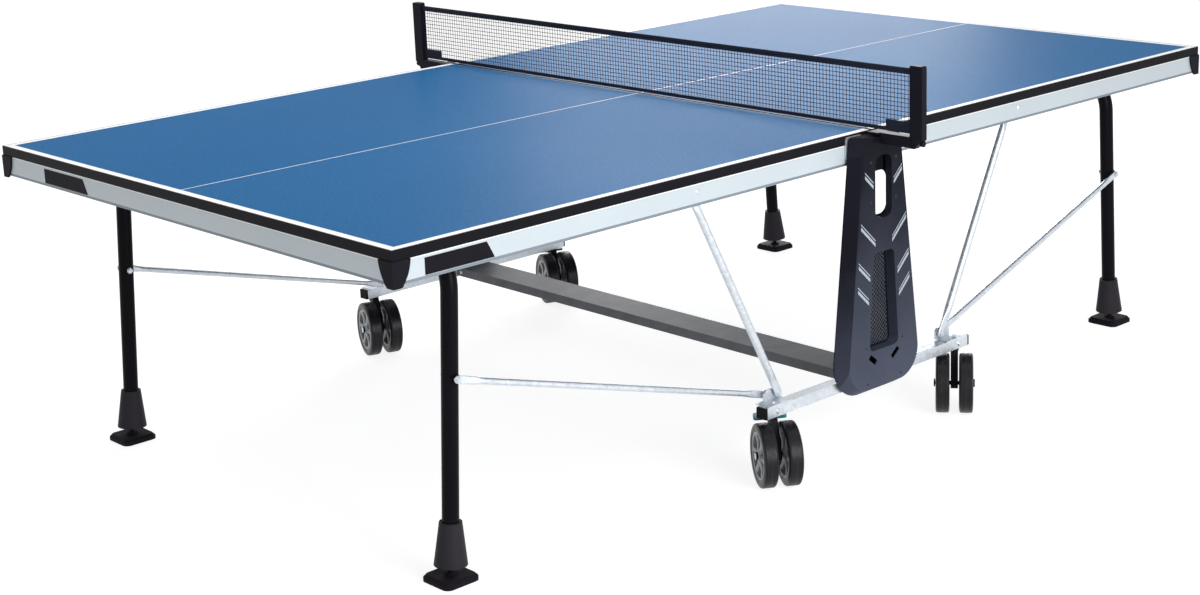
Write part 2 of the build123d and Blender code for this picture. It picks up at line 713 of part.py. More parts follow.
sleeve_low = 34
sleeve_high = 126
sleeve_low_radius = 35.5
sleeve_high_radius = 24
stud_radius = 6
stud_top = 58
with BuildPart() as right_foot_sleeves:
    foot_plane = Plane(origin=(foot_x, -leg_y, 0), x_dir=(0, 1, 0), z_dir=leg_axis_up)
    with Locations(foot_plane.offset(sleeve_low)):
        Cone(sleeve_low_radius, sleeve_high_radius, sleeve_high - sleeve_low,
             align=(Align.CENTER, Align.CENTER, Align.MIN))
    with Locations(foot_plane.offset(tube_rise)):
        Cylinder(leg_radius, sleeve_high, align=(Align.CENTER, Align.CENTER, Align.MIN),
                 mode=Mode.SUBTRACT)
    pin((foot_x, -leg_y, 0), (foot_x, -leg_y, stud_top + 20), stud_radius + running, mode=Mode.SUBTRACT)
    mirror(about=Plane.XZ)
finish(right_foot_sleeves, "right_foot_sleeves")

pad_size = 90
pad_thickness = 15
with BuildPart() as near_right_foot_pad:
    with BuildSketch(Plane.XY):
        with Locations((foot_x, -leg_y)):
            RectangleRounded(pad_size, pad_size, 16)
    extrude(amount=pad_thickness)
    chamfer(near_right_foot_pad.faces().sort_by(Axis.Z)[-1].edges(), 7)
    neck_top = 19
    pin((foot_x, -leg_y, pad_thickness), (foot_x, -leg_y, neck_top), 13)
    pin((foot_x, -leg_y, pad_thickness), (foot_x, -leg_y, stud_top), stud_radius)
finish(near_right_foot_pad, "near_right_foot_pad")

with BuildPart() as far_right_foot_pad:
    mirror(near_right_foot_pad.part, about=Plane.XZ)
finish(far_right_foot_pad, "far_right_foot_pad")

# ================================================================ left half, a mirror image
right_pieces = {
    "board": right_board,
    "edge_band": right_edge_band,
    "apron": right_apron,
    "corner_guards": right_corner_guards,
    "underframe": right_underframe,
    "pivot_pins": right_pivot_pins,
    "strut_bolts": right_strut_bolts,
    "struts": right_struts,
    "rods": right_rods,
    "sliders": right_sliders,
    "leg_frame": right_leg_frame,
    "foot_sleeves": right_foot_sleeves,
}
for name, right_piece in right_pieces.items():
    with BuildPart() as left_piece:
        mirror(right_piece.part, about=Plane.YZ)
    finish(left_piece, f"left_{name}")

for place, right_pad in (("near", near_right_foot_pad), ("far", far_right_foot_pad)):
    with BuildPart() as left_pad:
        mirror(right_pad.part, about=Plane.YZ)
    finish(left_pad, f"{place}_left_foot_pad")

# ================================================================ casters
wheel_radius = wheel_diameter / 2
rim_radius = 55
axle_radius = 5
fork_half = 9
flange_radius = 11
flange_top = rail_bottom - step
flange_bottom = rail_bottom - 7
pedal_pivot = (22, 143)     # across the axle and up, from the swivel's axis
pedal_pin_radius = 3
pedal_half = 40
pedal_front = 56
pedal_back = 18
pedal_thickness = 7
wheel_centres = (-wheel_spacing / 2, wheel_spacing / 2)

for place, yaw in caster_yaw.items():
    side_x = -1 if "left" in place else 1
    side_y = -1 if "near" in place else 1
    swivel = Vector(side_x * caster_x, side_y * rail_centre_y, 0)
    axle_dir = Vector(1, 0, 0).rotate(Axis.Z, yaw)
    lead_dir = Vector(0, 1, 0).rotate(Axis.Z, yaw)
    floor_plane = Plane(origin=swivel, x_dir=axle_dir, z_dir=(0, 0, 1))
    side_plane = Plane(origin=swivel, x_dir=lead_dir, z_dir=axle_dir)
    axle_point = (-caster_trail, wheel_radius)

    with BuildPart() as fork:
        with BuildSketch(side_plane):
            with Locations(axle_point):
                Circle(14)
            with Locations((0, flange_bottom - 8)):
                Rectangle(2 * flange_radius, 16)
            make_hull()
            with Locations(pedal_pivot):
                Circle(5.5)
            with Locations((pedal_pivot[0] - 8, pedal_pivot[1])):
                Rectangle(16, 11)
        extrude(amount=fork_half, both=True)
        with BuildSketch(floor_plane.offset(flange_bottom)):
            Circle(flange_radius)
        extrude(amount=flange_top - flange_bottom)
        with BuildSketch(floor_plane.offset(flange_bottom)):
            Circle(stem_radius)
        extrude(amount=stem_top - step - flange_bottom)
        axle_half = wheel_spacing / 2 + wheel_width / 2 + 1
        with BuildSketch(side_plane):
            with Locations(axle_point):
                Circle(axle_radius)
        extrude(amount=axle_half + 2, both=True)
        for cap_side in (-1, 1):
            with BuildSketch(side_plane.offset(cap_side * axle_half)):
                with Locations(axle_point):
                    Circle(10)
            extrude(amount=cap_side * 3)
        with BuildSketch(side_plane):
            with Locations(pedal_pivot):
                Circle(pedal_pin_radius + running)
        extrude(amount=fork_half, both=True, mode=Mode.SUBTRACT)
    finish(fork, f"{place}_caster_fork")

    with BuildPart() as tyres:
        for centre in wheel_centres:
            with BuildSketch(side_plane.offset(centre)):
                with Locations(axle_point):
                    Circle(wheel_radius)
                    Circle(rim_radius, mode=Mode.SUBTRACT)
            extrude(amount=wheel_width / 2, both=True)
        rolling_edges = tyres.edges().filter_by(GeomType.CIRCLE).group_by(SortBy.RADIUS)[-1]
        fillet(rolling_edges, 5)
    finish(tyres, f"{place}_tyres")

    with BuildPart() as hubs:
        hub_half = wheel_width / 2 - 1
        for centre in wheel_centres:
            with BuildSketch(side_plane.offset(centre)):
                with Locations(axle_point):
                    Circle(rim_radius)
                    Circle(axle_radius + running, mode=Mode.SUBTRACT)
            extrude(amount=hub_half, both=True)
            for face in (-1, 1):
                with BuildSketch(side_plane.offset(centre + face * hub_half)):
                    with Locations(axle_point):
                        Circle(rim_radius - 6)
                        Circle(16, mode=Mode.SUBTRACT)
                extrude(amount=-face * (hub_half - 4), mode=Mode.SUBTRACT)
            with BuildSketch(side_plane.offset(centre)):
                with Locations(axle_point):
                    with PolarLocations(32, 5, start_angle=18):
                        Circle(11)
            extrude(amount=hub_half, both=True, mode=Mode.SUBTRACT)
    finish(hubs, f"{place}_hubs")

    if place in braked_casters:
        with BuildPart() as pedal:
            plate_low = flange_bottom - 9
            with BuildSketch(floor_plane.offset(plate_low)):
                Polygon(
                    (-pedal_half, pedal_back), (pedal_half, pedal_back),
                    (pedal_half - 5, pedal_front - 8), (pedal_half - 26, pedal_front),
                    (26 - pedal_half, pedal_front), (5 - pedal_half, pedal_front - 8), align=None,
                )
                fillet(vertices(), 7)
                Rectangle(2 * (fork_half + step), 60, mode=Mode.SUBTRACT)
            extrude(amount=pedal_thickness)
            for ear_side in (-1, 1):
                with BuildSketch(side_plane.offset(ear_side * (fork_half + step))):
                    with Locations(pedal_pivot):
                        Circle(5)
                extrude(amount=ear_side * 6)
            with BuildSketch(side_plane):
                with Locations(pedal_pivot):
                    Circle(pedal_pin_radius)
            extrude(amount=fork_half + step, both=True)
        finish(pedal, f"{place}_brake_pedal")
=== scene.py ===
# Finishes and fine detail for a folding ping pong table on wheels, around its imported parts.
import json
import math

import bmesh
import bpy
from mathutils import Matrix, Vector

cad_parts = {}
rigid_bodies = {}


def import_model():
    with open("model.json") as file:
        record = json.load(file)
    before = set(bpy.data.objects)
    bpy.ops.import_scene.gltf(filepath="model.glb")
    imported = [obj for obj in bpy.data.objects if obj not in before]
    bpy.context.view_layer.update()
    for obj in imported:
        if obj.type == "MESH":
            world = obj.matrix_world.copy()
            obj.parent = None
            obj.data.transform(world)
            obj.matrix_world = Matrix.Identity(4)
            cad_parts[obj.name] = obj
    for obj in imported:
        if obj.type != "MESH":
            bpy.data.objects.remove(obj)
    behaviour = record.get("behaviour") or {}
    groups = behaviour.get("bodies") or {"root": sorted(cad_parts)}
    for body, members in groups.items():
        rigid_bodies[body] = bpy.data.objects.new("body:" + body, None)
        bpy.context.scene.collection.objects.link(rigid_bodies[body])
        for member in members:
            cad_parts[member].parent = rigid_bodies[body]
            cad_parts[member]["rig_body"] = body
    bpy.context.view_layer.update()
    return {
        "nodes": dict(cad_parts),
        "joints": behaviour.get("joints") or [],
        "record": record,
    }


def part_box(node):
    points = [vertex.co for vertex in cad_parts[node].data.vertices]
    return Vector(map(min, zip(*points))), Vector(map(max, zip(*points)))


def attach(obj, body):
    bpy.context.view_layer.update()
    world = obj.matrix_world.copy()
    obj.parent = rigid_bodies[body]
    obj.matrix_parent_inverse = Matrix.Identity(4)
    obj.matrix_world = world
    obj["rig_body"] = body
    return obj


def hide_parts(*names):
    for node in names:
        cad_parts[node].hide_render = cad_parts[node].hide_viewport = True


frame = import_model()
parts = frame["nodes"]
slotOf = {row["node"]: row["material_slot"] for row in frame["record"]["subparts"]}
jointNamed = {joint["name"]: joint for joint in frame["joints"]}
scene = bpy.context.scene
print(f"table loaded with {len(parts)} parts")


class Wire:  # one output of a node; sums and comparisons on it add Math nodes
    def __init__(self, graph, socket):
        self.graph = graph
        self.socket = socket

    def other(self, output):
        return Wire(self.graph, self.socket.node.outputs[output])

    def maths(self, operation, *values):
        return self.graph.node("ShaderNodeMath", {"operation": operation}, dict(enumerate(values)))

    def __add__(self, value):
        return self.maths("ADD", self, value)

    def __radd__(self, value):
        return self.maths("ADD", value, self)

    def __sub__(self, value):
        return self.maths("SUBTRACT", self, value)

    def __mul__(self, value):
        return self.maths("MULTIPLY", self, value)

    def __rmul__(self, value):
        return self.maths("MULTIPLY", value, self)

    def __truediv__(self, value):
        return self.maths("DIVIDE", self, value)

    def __gt__(self, value):
        return self.maths("GREATER_THAN", self, value)

    def __lt__(self, value):
        return self.maths("LESS_THAN", self, value)

    def __or__(self, value):  # the union of two masks
        return self.maths("MAXIMUM", self, value)

    def __abs__(self):
        return self.maths("ABSOLUTE", self)


class Graph:  # a node tree and the one way its nodes are made
    def __init__(self, tree):
        self.tree = tree

    def node(self, kind, settings=None, sockets=None, output=0):
        made = self.tree.nodes.new(kind)
        for name, value in (settings or {}).items():
            setattr(made, name, value)
        for key, value in (sockets or {}).items():
            if isinstance(value, (Wire, list)):
                for wire in value if isinstance(value, list) else [value]:
                    self.tree.links.new(wire.socket, made.inputs[key])
            else:
                made.inputs[key].default_value = value
        return Wire(self, made.outputs[output]) if made.outputs else None


class Finish(Graph):  # one material
    def __init__(self, name):
        self.material = bpy.data.materials.new(name)
        self.material.use_nodes = True
        super().__init__(self.material.node_tree)
        self.tree.nodes.clear()
        self.place = self.node("ShaderNodeTexCoord", output="Object")

    def noise(self, scale, stretch=(1, 1, 1), detail=2.0):
        at = self.node("ShaderNodeMapping", sockets={"Vector": self.place, "Scale": stretch})
        return self.node("ShaderNodeTexNoise", sockets={"Vector": at, "Scale": scale, "Detail": detail})

    def axes(self):
        x = self.node("ShaderNodeSeparateXYZ", sockets={0: self.place})
        return x, x.other("Y"), x.other("Z")

    def mix(self, amount, first, second):
        return self.node("ShaderNodeMix", {"data_type": "RGBA"}, {0: amount, 6: first, 7: second}, 2)

    def bump(self, height, depth):
        return self.node("ShaderNodeBump", sockets={"Height": height, "Distance": depth, "Strength": 1.0})

    def done(self, sockets):
        shader = self.node("ShaderNodeBsdfPrincipled", sockets=sockets)
        self.node("ShaderNodeOutputMaterial", sockets={"Surface": shader})
        return self.material


# ---- finishes, one for each slot of the record
boardLook = {
    "deep": (0.002, 0.074, 0.205, 1),
    "blue": (0.010, 0.150, 0.380, 1),
    "line": (0.95, 0.955, 0.96, 1),
    "under": (0.035, 0.065, 0.120, 1),
    "borderLine": 0.018,
    "middleLine": 0.003,
    "skin": 0.0005,  # depth of the coloured face
    "speckle": 230,
    "contrast": 1.9,
    "cloud": 1.3,
    "cloudShare": 0.3,
    "grain": 1100,
    "grainDepth": 0.00012,
    "gloss": 0.02,
}


def playingSurface(look):
    paint = Finish("playingSurface")
    x, y, z = paint.axes()
    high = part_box("right_board")[1]
    border = (abs(x) > high.x - look["borderLine"]) | (abs(y) > high.y - look["borderLine"])
    lines = border | (abs(y) < look["middleLine"] / 2)
    top = z > high.z - look["skin"]
    speckle = paint.noise(look["speckle"], detail=3.0)
    grain = paint.noise(look["grain"])
    cloud = paint.noise(look["cloud"])
    level = (1 - look["cloudShare"] - look["contrast"]) / 2
    tone = speckle * look["contrast"] + cloud * look["cloudShare"] + level
    blue = paint.mix(tone, look["deep"], look["blue"])
    drawn = paint.mix(lines, blue, look["line"])
    return paint.done({
        "Base Color": paint.mix(top, look["under"], drawn),
        "Roughness": 0.40 + 0.12 * speckle,
        "Specular IOR Level": look["gloss"],
        "Normal": paint.bump(grain + speckle * 0.6, look["grainDepth"]),
    })


def grained(name, look):  # moulded or coated surfaces: two shades, a broad drift and a fine grain
    paint = Finish(name)
    drift = paint.noise(look["drift"], detail=3.0)
    grain = paint.noise(look["grain"], detail=3.0)
    tone = drift * 0.55 + grain * 0.45
    # painted shade: the towers get darker towards their tops and paler towards the floor, standing in for the
    # shade under the board and the net posts
    if "paintedShadeLevel" in look:
        tone = tone - (paint.axes()[2] - look["paintedShadeLevel"]) * look["paintedShadeRate"]
    # painted shade: the sloping sides of each tower are darkened as if turned away from the light, up to just
    # below the shoulders, which are left unshaded
    if "rimFoot" in look:  # the sloping sides of the towers
        low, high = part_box("near_tower_shell")
        lean = (look["rimFoot"] - look["rimTop"]) / (high.z - low.z)
        x, z = paint.axes()[0], paint.axes()[2]
        rim = (abs(x) > (z - low.z) * -lean + look["rimFoot"]) * (z < high.z - look["shoulder"])
        tone = tone - rim * look["sidePaintedShade"]
    return paint.done({
        "Base Color": paint.mix(tone, look["dark"], look["pale"]),
        "Roughness": look["smooth"] + (look["rough"] - look["smooth"]) * grain,
        "Metallic": look.get("metal", 0.0),
        "Specular IOR Level": look.get("gloss", 0.5),
        "Normal": paint.bump(grain, look["depth"]),
    })


zincLook = {
    "dark": (0.50, 0.55, 0.61, 1),
    "pale": (0.74, 0.78, 0.82, 1),
    "spangle": 130,
    "drawn": 900,
    "drawnDepth": 0.00004,
    "metal": 0.72,
}


def zincPlate(look):  # pale plated steel with faint crystals and drawing marks
    paint = Finish("zincPlate")
    crystal = paint.node("ShaderNodeTexVoronoi", {"feature": "F1"},
                         {"Vector": paint.place, "Scale": look["spangle"]}, output="Color")
    tone = paint.node("ShaderNodeSeparateXYZ", sockets={0: crystal})
    drawn = paint.noise(look["drawn"], (0.06, 1, 1))
    return paint.done({
        "Base Color": paint.mix(tone * 0.5 + drawn * 0.5, look["dark"], look["pale"]),
        "Roughness": 0.30 + 0.12 * tone + 0.10 * drawn,
        "Metallic": look["metal"],
        "Normal": paint.bump(drawn, look["drawnDepth"]),
    })


apronLook = {
    "dark": (0.49, 0.555, 0.60, 1),
    "pale": (0.61, 0.68, 0.725, 1),
    "line": (0.90, 0.92, 0.92, 1),
    # painted shade: the hem colour is a dark strip along the bottom edge of each apron, standing in for the
    # shade on its inward lower lip
    "hem": (0.20, 0.24, 0.28, 1),
    "coat": 0.15,
    "coatRough": 0.25,
    "drift": 5,
    "peel": 420,
    "peelDepth": 0.00005,
    "lineTall": 0.0028,
    "lipShadeTall": 0.0060,
    "flake": 1500,
    "metal": 0.18,
}


def silverPaint(look):  # metallic paint with fine flakes
    paint = Finish("silverPaint")
    flake = paint.node("ShaderNodeTexVoronoi", {"feature": "F1"},
                       {"Vector": paint.place, "Scale": look["flake"]}, output="Color")
    spark = paint.node("ShaderNodeSeparateXYZ", sockets={0: flake})
    drift = paint.noise(look["drift"])
    peel = paint.noise(look["peel"])
    low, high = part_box("right_apron")
    z = paint.axes()[2]
    silver = paint.mix(spark * 0.5 + drift * 0.5, look["dark"], look["pale"])
    lined = paint.mix(z > high.z - look["lineTall"], silver, look["line"])
    return paint.done({
        # painted shade along the bottom edge of the apron, for the shaded inward lip
        "Base Color": paint.mix(z < low.z + look["lipShadeTall"], lined, look["hem"]),
        "Roughness": 0.36 + 0.10 * spark,
        "Metallic": look["metal"],
        "Coat Weight": look["coat"],
        "Coat Roughness": look["coatRough"],
        "Normal": paint.bump(peel, look["peelDepth"]),
    })


tyreLook = {"dark": (0.004, 0.004, 0.005, 1), "pale": (0.018, 0.017, 0.021, 1), "scuff": 90,
            "grain": 1300, "depth": 0.00008, "gloss": 0.22}


def tyreRubber(look):  # rubber with dusty scuffs
    paint = Finish("tyreRubber")
    scuff = paint.noise(look["scuff"], detail=5.0)
    grain = paint.noise(look["grain"])
    return paint.done({
        "Base Color": paint.mix(scuff, look["dark"], look["pale"]),
        "Roughness": 0.20 + 0.30 * scuff,
        "Specular IOR Level": look["gloss"],
        "Normal": paint.bump(grain, look["depth"]),
    })


yarnLook = {"dark": (0.006, 0.008, 0.018, 1), "pale": (0.020, 0.026, 0.050, 1), "twist": 900,
            "ribs": 2600}


def yarnCloth(name, look):  # woven or twisted yarn
    paint = Finish(name)
    fibre = paint.noise(look["twist"], detail=4.0)
    x, y, z = paint.axes()
    ribs = (y + z) * look["ribs"]
    rib = ribs.maths("SINE", ribs)
    return paint.done({
        "Base Color": paint.mix(fibre, look["dark"], look["pale"]),
        "Roughness": 0.75 + 0.2 * fibre,
        "Specular IOR Level": 0.2,
        "Normal": paint.bump(fibre + rib * 0.3, 0.0001),
    })


grainedLooks = {
    "black_band": {"dark": (0.004, 0.004, 0.006, 1), "pale": (0.012, 0.012, 0.016, 1), "drift": 9,
                   "grain": 800, "depth": 0.00004, "smooth": 0.30, "rough": 0.48, "gloss": 0.05},
    "black_guard": {"dark": (0.005, 0.005, 0.008, 1), "pale": (0.015, 0.014, 0.020, 1), "drift": 14,
                    "grain": 950, "depth": 0.00010, "smooth": 0.38, "rough": 0.60, "gloss": 0.05},
    "dark_brace": {"dark": (0.012, 0.012, 0.015, 1), "pale": (0.028, 0.028, 0.033, 1), "drift": 8,
                   "grain": 600, "depth": 0.00010, "smooth": 0.45, "rough": 0.65, "gloss": 0.2},
    "black_nylon": {"dark": (0.006, 0.006, 0.008, 1), "pale": (0.016, 0.016, 0.020, 1), "drift": 20,
                    "grain": 900, "depth": 0.00006, "smooth": 0.36, "rough": 0.55, "gloss": 0.05},
    "black_tube": {"dark": (0.002, 0.002, 0.003, 1), "pale": (0.007, 0.006, 0.010, 1), "drift": 7,
                   "grain": 520, "depth": 0.00010, "smooth": 0.22, "rough": 0.38, "gloss": 0.05},
    "black_sleeve": {"dark": (0.016, 0.014, 0.018, 1), "pale": (0.036, 0.032, 0.040, 1), "drift": 18,
                     "grain": 700, "depth": 0.00012, "smooth": 0.46, "rough": 0.66, "gloss": 0.1},
    "rubber_pad": {"dark": (0.006, 0.005, 0.008, 1), "pale": (0.016, 0.013, 0.019, 1), "drift": 22,
                   "grain": 600, "depth": 0.00015, "smooth": 0.50, "rough": 0.75, "gloss": 0.06},
    "grey_beam": {"dark": (0.085, 0.087, 0.098, 1), "pale": (0.245, 0.248, 0.270, 1), "drift": 22,
                  "grain": 330, "depth": 0.00022, "smooth": 0.48, "rough": 0.66, "gloss": 0.3},
    # painted shade on the towers: darker towards their tops and darker on their sloping sides
    "charcoal_tower": {"dark": (0.006, 0.006, 0.011, 1), "pale": (0.078, 0.090, 0.130, 1),
                       "drift": 5, "grain": 1000, "depth": 0.00012, "smooth": 0.36, "rough": 0.54,
                       "gloss": 0.05, "paintedShadeLevel": 0.38, "paintedShadeRate": 1.7,
                       "rimFoot": 0.132, "rimTop": 0.064, "sidePaintedShade": 0.35, "shoulder": 0.045},
    "black_guide": {"dark": (0.005, 0.005, 0.007, 1), "pale": (0.013, 0.012, 0.018, 1), "drift": 8,
                    "grain": 700, "depth": 0.00006, "smooth": 0.35, "rough": 0.50, "gloss": 0.05},
    "dark_screw": {"dark": (0.015, 0.015, 0.020, 1), "pale": (0.060, 0.060, 0.070, 1), "drift": 80,
                   "grain": 2000, "depth": 0.00003, "smooth": 0.25, "rough": 0.42, "metal": 0.7},
    "black_mesh": {"dark": (0.004, 0.005, 0.008, 1), "pale": (0.013, 0.015, 0.022, 1), "drift": 30,
                   "grain": 1500, "depth": 0.00004, "smooth": 0.30, "rough": 0.48, "gloss": 0.05},
    "black_post": {"dark": (0.005, 0.005, 0.009, 1), "pale": (0.015, 0.014, 0.022, 1), "drift": 12,
                   "grain": 900, "depth": 0.00008, "smooth": 0.32, "rough": 0.50, "gloss": 0.05},
    "black_fork": {"dark": (0.005, 0.005, 0.007, 1), "pale": (0.014, 0.012, 0.017, 1), "drift": 24,
                   "grain": 850, "depth": 0.00008, "smooth": 0.34, "rough": 0.52, "gloss": 0.05},
    "grey_hub": {"dark": (0.24, 0.25, 0.26, 1), "pale": (0.46, 0.48, 0.50, 1), "drift": 26,
                 "grain": 900, "depth": 0.00005, "smooth": 0.30, "rough": 0.46, "metal": 0.15},
    "teal_pedal": {"dark": (0.002, 0.135, 0.175, 1), "pale": (0.006, 0.215, 0.250, 1), "drift": 30,
                   "grain": 800, "depth": 0.00006, "smooth": 0.32, "rough": 0.48},
}
finishes = {slot: grained(slot, look) for slot, look in grainedLooks.items()}
finishes["blue_board"] = playingSurface(boardLook)
finishes["zinc_steel"] = zincPlate(zincLook)
finishes["silver_apron"] = silverPaint(apronLook)
finishes["tyre"] = tyreRubber(tyreLook)
finishes["net_weave"] = yarnCloth("netYarn", yarnLook)
finishes["net_tape"] = yarnCloth("netTape", {**yarnLook, "pale": (0.014, 0.017, 0.032, 1), "twist": 1400})

for name, part in parts.items():
    for slot in part.material_slots:
        slot.material = finishes[slotOf[name]]
print(f"{len(finishes)} finishes on the parts")


# ---- ways of making a piece
def addPiece(name, mesh, slot, body, replaced=(), finish=None):
    piece = bpy.data.objects.new(name, mesh)
    scene.collection.objects.link(piece)
    mesh.materials.clear()
    mesh.materials.append(finish or finishes[slot])
    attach(piece, body)
    if replaced:
        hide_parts(*replaced)
    return piece


def meshFrom(name, form, sharpAngle=35):  # form is a bmesh, used up here
    bmesh.ops.recalc_face_normals(form, faces=form.faces)
    for face in form.faces:
        face.smooth = True
    mesh = bpy.data.meshes.new(name)
    form.to_mesh(mesh)
    form.free()
    mesh.set_sharp_from_angle(angle=math.radians(sharpAngle))
    return mesh


def addLoops(form, loops, closed=False):  # skins a row of point loops, capped unless it closes
    rings = [[form.verts.new(point) for point in loop] for loop in loops]
    pairs = list(zip(rings, rings[1:]))
    if closed:
        pairs.append((rings[-1], rings[0]))
    for first, second in pairs:
        for index in range(len(first)):
            after = (index + 1) % len(first)
            form.faces.new((first[index], first[after], second[after], second[index]))
    if not closed:
        form.faces.new(rings[0])
        form.faces.new(rings[-1])


def spun(form, profile, centre, axle, segments):  # profile is a closed loop of (along, radius)
    side = axle.orthogonal().normalized()
    front = axle.cross(side)
    loops = []
    for step in range(segments):
        angle = 2 * math.pi * step / segments
        outward = side * math.cos(angle) + front * math.sin(angle)
        loops.append([centre + axle * along + outward * radius for along, radius in profile])
    addLoops(form, loops, closed=True)


def prism(form, outline, depth):  # outline in space, pushed along the depth vector
    addLoops(form, [outline, [point + depth for point in outline]])


class Growth(Graph):  # a Geometry Nodes tree with named sizes
    def __init__(self, name, inputs):
        super().__init__(bpy.data.node_groups.new(name, "GeometryNodeTree"))
        face = self.tree.interface
        face.new_socket("Geometry", in_out="INPUT", socket_type="NodeSocketGeometry")
        for label, kind in inputs.items():
            face.new_socket(label, in_out="INPUT", socket_type="NodeSocket" + kind)
        face.new_socket("Geometry", in_out="OUTPUT", socket_type="NodeSocketGeometry")
        self.given = self.tree.nodes.new("NodeGroupInput")

    def size(self, label):
        return Wire(self, self.given.outputs[label])

    def vector(self, x=0.0, y=0.0, z=0.0):
        return self.node("ShaderNodeCombineXYZ", sockets={0: x, 1: y, 2: z})

    def finish(self, geometry):
        real = self.node("GeometryNodeRealizeInstances", sockets={0: geometry})
        painted = self.node("GeometryNodeSetMaterial", sockets={0: real, "Material": self.size("Finish")})
        self.node("NodeGroupOutput", sockets={0: painted})
        return self.tree


def grown(name, tree, values, start=None):  # what a tree makes, as a plain mesh
    seed = bpy.data.objects.new(name, start or bpy.data.meshes.new(name))
    scene.collection.objects.link(seed)
    modifier = seed.modifiers.new(name, "NODES")
    modifier.node_group = tree
    for item in tree.interface.items_tree:
        if item.in_out == "INPUT" and item.name in values:
            modifier[item.identifier] = values[item.name]
    result = seed.evaluated_get(bpy.context.evaluated_depsgraph_get())
    mesh = bpy.data.meshes.new_from_object(result)
    bpy.data.objects.remove(seed)
    return mesh


def placesOf(node, reach):  # middles of the separate lumps of a part
    lumps = []
    for vertex in parts[node].data.vertices:
        lump = next((found for found in lumps if (found[0] - vertex.co).length < reach), None)
        if lump is None:
            lumps.append([vertex.co.copy(), vertex.co.copy(), vertex.co.copy()])
        else:
            lump[1] = Vector(map(min, lump[1], vertex.co))
            lump[2] = Vector(map(max, lump[2], vertex.co))
    return [(low + high) / 2 for _, low, high in lumps]


# ---- the net
netLook = {"pitch": 0.0100, "yarn": 0.00074, "over": 0.0002, "cover": 0.32}


def netTree():
    grow = Growth("netYarns", {"Span": "Float", "Drop": "Float", "Pitch": "Float", "Yarn": "Float",
                               "Over": "Float", "Finish": "Material"})
    span, drop, pitch, over = (grow.size(label) for label in ("Span", "Drop", "Pitch", "Over"))
    section = grow.node("GeometryNodeCurvePrimitiveCircle",
                        sockets={"Resolution": 4, "Radius": grow.size("Yarn")})
    families = []
    for count, end, start, offset in (
        (span / pitch, grow.vector(z=drop), grow.vector(over, span * -0.5), grow.vector(y=pitch)),
        (drop / pitch, grow.vector(y=span), grow.vector(over * -1, span * -0.5), grow.vector(z=pitch)),
    ):
        line = grow.node("GeometryNodeCurvePrimitiveLine", sockets={"End": end})
        yarn = grow.node("GeometryNodeCurveToMesh", sockets={0: line, 1: section, "Fill Caps": True})
        row = grow.node("GeometryNodeMeshLine", {"mode": "OFFSET"}, {
            "Count": count.maths("FLOOR", count) + 1,
            "Start Location": start,
            "Offset": offset,
        })
        families.append(grow.node("GeometryNodeInstanceOnPoints", sockets={"Points": row, "Instance": yarn}))
    return grow.finish(grow.node("GeometryNodeJoinGeometry", sockets={0: families}))


netLow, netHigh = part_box("net_mesh")
netSpan = netHigh.y - netLow.y
netDrop = netHigh.z - netLow.z
netPitch = netSpan / math.floor(netSpan / netLook["pitch"]) - 1e-7
netMesh = grown("net", netTree(), {
    "Span": netSpan, "Drop": netDrop, "Pitch": netPitch, "Yarn": netLook["yarn"],
    "Over": netLook["over"], "Finish": finishes["net_weave"],
})
netMesh.transform(Matrix.Translation((0, 0, netLow.z)))
net = addPiece("net", netMesh, "net_weave", "centre_frame", ["net_mesh"])
print("net woven")

# ---- tape along the top of the net, folded over and stitched
tapeLook = {"bulge": 0.85, "wave": 0.0002, "pieces": 70, "stitch": 0.0032, "step": 0.0052,
            "thread": 0.00035, "hem": 0.0035}


def foldedTape(look):
    low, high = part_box("net_top_tape")
    half = (high.x - low.x) / 2 * look["bulge"]
    tall = high.z - low.z
    outline = [(-0.55, 0.0), (-0.8, 0.2), (-1, 0.55), (-0.9, 0.85), (-0.45, 1.0),
               (0.45, 1.0), (0.9, 0.85), (1, 0.55), (0.8, 0.2), (0.55, 0.0)]
    form = bmesh.new()
    loops = []
    for index in range(look["pieces"] + 1):
        y = low.y + (high.y - low.y) * index / look["pieces"]
        sway = look["wave"] * math.sin(index * 1.7) * math.sin(index * 0.37)
        loops.append([Vector((half * side + sway, y, low.z + tall * rise)) for side, rise in outline])
    addLoops(form, loops)
    return meshFrom("netTape", form, 50)


def stitchTree():
    grow = Growth("stitches", {"Span": "Float", "Step": "Float", "Stitch": "Float", "Thread": "Float",
                               "Apart": "Float", "Finish": "Material"})
    span, step, apart = (grow.size(label) for label in ("Span", "Step", "Apart"))
    section = grow.node("GeometryNodeCurvePrimitiveCircle",
                        sockets={"Resolution": 5, "Radius": grow.size("Thread")})
    line = grow.node("GeometryNodeCurvePrimitiveLine", sockets={"End": grow.vector(y=grow.size("Stitch"))})
    stitch = grow.node("GeometryNodeCurveToMesh", sockets={0: line, 1: section, "Fill Caps": True})
    rows = []
    for side in (-0.5, 0.5):
        row = grow.node("GeometryNodeMeshLine", {"mode": "OFFSET"}, {
            "Count": (span / step).maths("FLOOR", span / step),
            "Start Location": grow.vector(apart * side, span * -0.5),
            "Offset": grow.vector(y=step),
        })
        rows.append(grow.node("GeometryNodeInstanceOnPoints", sockets={"Points": row, "Instance": stitch}))
    return grow.finish(grow.node("GeometryNodeJoinGeometry", sockets={0: rows}))


